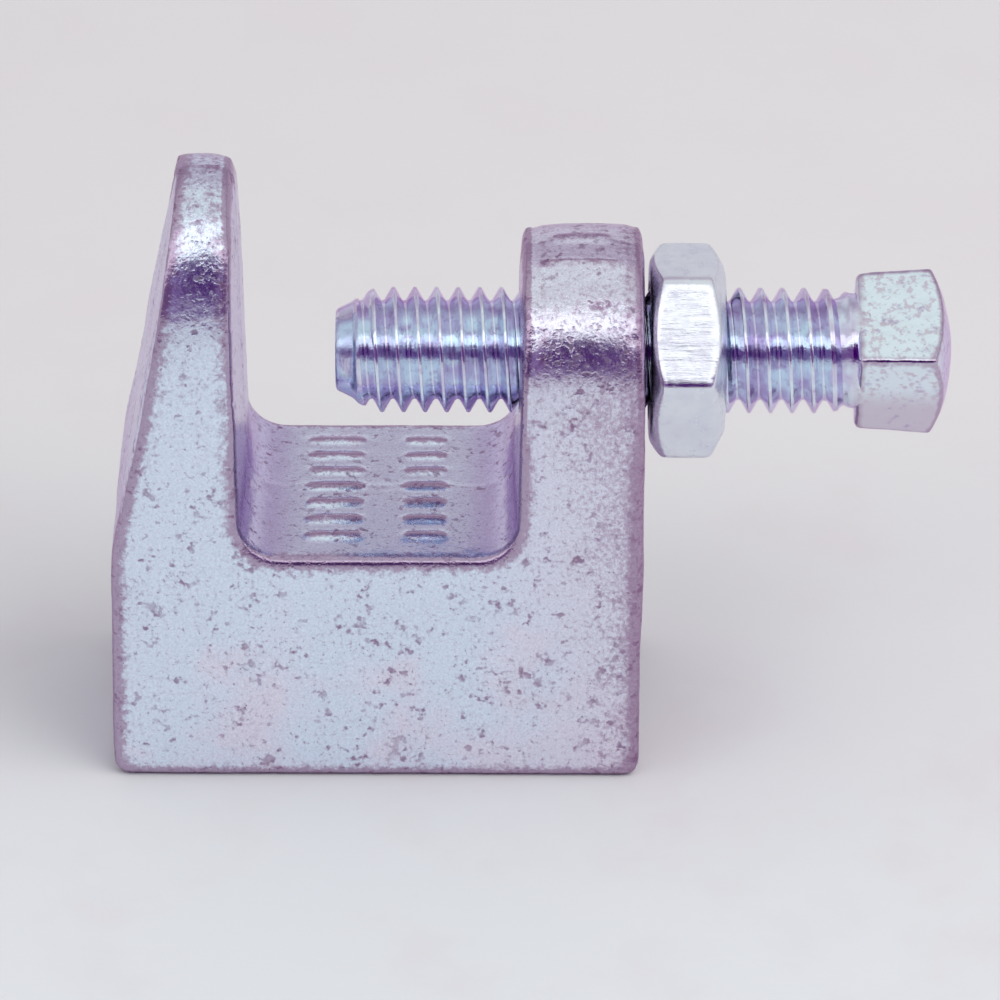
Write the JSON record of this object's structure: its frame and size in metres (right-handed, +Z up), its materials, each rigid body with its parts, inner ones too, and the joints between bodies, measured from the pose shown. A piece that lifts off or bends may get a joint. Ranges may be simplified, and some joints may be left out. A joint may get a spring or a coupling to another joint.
{
  "type": "beam clamp",
  "caption": "C-shaped cast clamp that hooks over a flange edge, gripped by a square-head cup-point set screw with a lock nut; a threaded rod hangs from its tapped base.",
  "frame": {"origin": "centre of the flat underside of the base", "axes": "+X along the set screw towards its head, +Y towards the back, +Z up out of the throat"},
  "size_m": [0.0621, 0.019, 0.0475],
  "materials": {
    "cast_zinc": "zinc-plated malleable iron casting, matt, finely pitted, blue-grey with purple-brown specks",
    "screw_zinc": "blue-passivated zinc plate on rolled thread, bright",
    "nut_zinc": "blue-passivated zinc plate, bright, faintly brushed along the thickness"
  },
  "bodies": {
    "clamp_body": {"clamp_body": "cast_zinc"},
    "screw_travel": {"set_screw_cup_point": "screw_zinc"},
    "set_screw": {"set_screw": "screw_zinc"},
    "nut_travel": {"lock_nut_bearing_face": "nut_zinc"},
    "lock_nut": {"lock_nut": "nut_zinc"}
  },
  "joints": [
    {"name": "set_screw_advance", "type": "slide", "parent": "clamp_body", "child": "screw_travel", "axis": [1, 0, 0], "range_m": [-0.00635, 0.0127]},
    {"name": "set_screw_turn", "type": "hinge", "parent": "screw_travel", "child": "set_screw", "pos_m": [0, 0, 0.03195], "axis": [1, 0, 0], "range_deg": [-1441, 2881]},
    {"name": "lock_nut_advance", "type": "slide", "parent": "clamp_body", "child": "nut_travel", "axis": [1, 0, 0], "range_m": [-0.00038, 0.00198]},
    {"name": "lock_nut_turn", "type": "hinge", "parent": "nut_travel", "child": "lock_nut", "pos_m": [0.0229, 0, 0.03195], "axis": [1, 0, 0], "range_deg": [-86, 451]}
  ],
  "couplings": [
    {"joint": "set_screw_turn", "follows": "set_screw_advance", "rad_per_m": 3957.9},
    {"joint": "lock_nut_turn", "follows": "lock_nut_advance", "rad_per_m": 3957.9}
  ]
}
